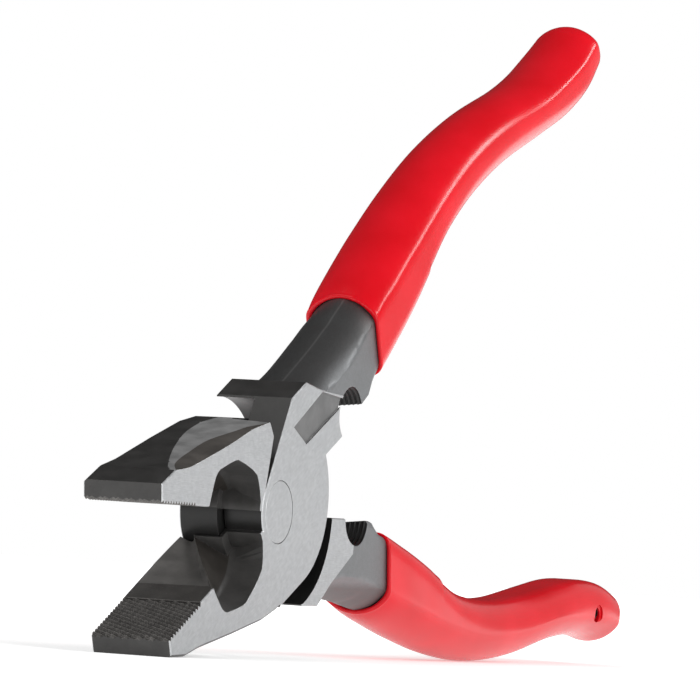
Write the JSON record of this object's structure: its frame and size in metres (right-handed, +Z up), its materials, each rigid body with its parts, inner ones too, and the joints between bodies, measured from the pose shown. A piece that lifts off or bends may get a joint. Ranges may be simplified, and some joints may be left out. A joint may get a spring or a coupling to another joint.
{
  "type": "lineman pliers",
  "caption": "Lineman pliers with flat gripping jaws, a side cutter, a flush rivet pivot and dipped grips on forged handles, standing half open.",
  "frame": {"origin": "centre of the footprint's box, on the floor that the lower jaw's nose and the lower grip touch", "axes": "+X from the jaws towards the handle ends, +Y along the pivot from the near side face to the far one, +Z up"},
  "size_m": [0.2342, 0.0168, 0.1358],
  "materials": {
    "forged_steel": "black oxide forging with the side faces of the head ground to a fine satin",
    "rivet_steel": "ground flush with the head, fine satin",
    "dipped_grip": "glossy red dipped plastisol"
  },
  "bodies": {
    "front_half": {"front_lever": "forged_steel", "upper_grip": "dipped_grip", "pivot_rivet": "rivet_steel"},
    "rear_half": {"rear_lever": "forged_steel", "lower_grip": "dipped_grip"}
  },
  "joints": [
    {"name": "pivot", "type": "hinge", "parent": "front_half", "child": "rear_half", "pos_m": [-0.06696, 0, 0.02769], "axis": [0, 1, 0], "range_deg": [-28.8, 12]}
  ]
}
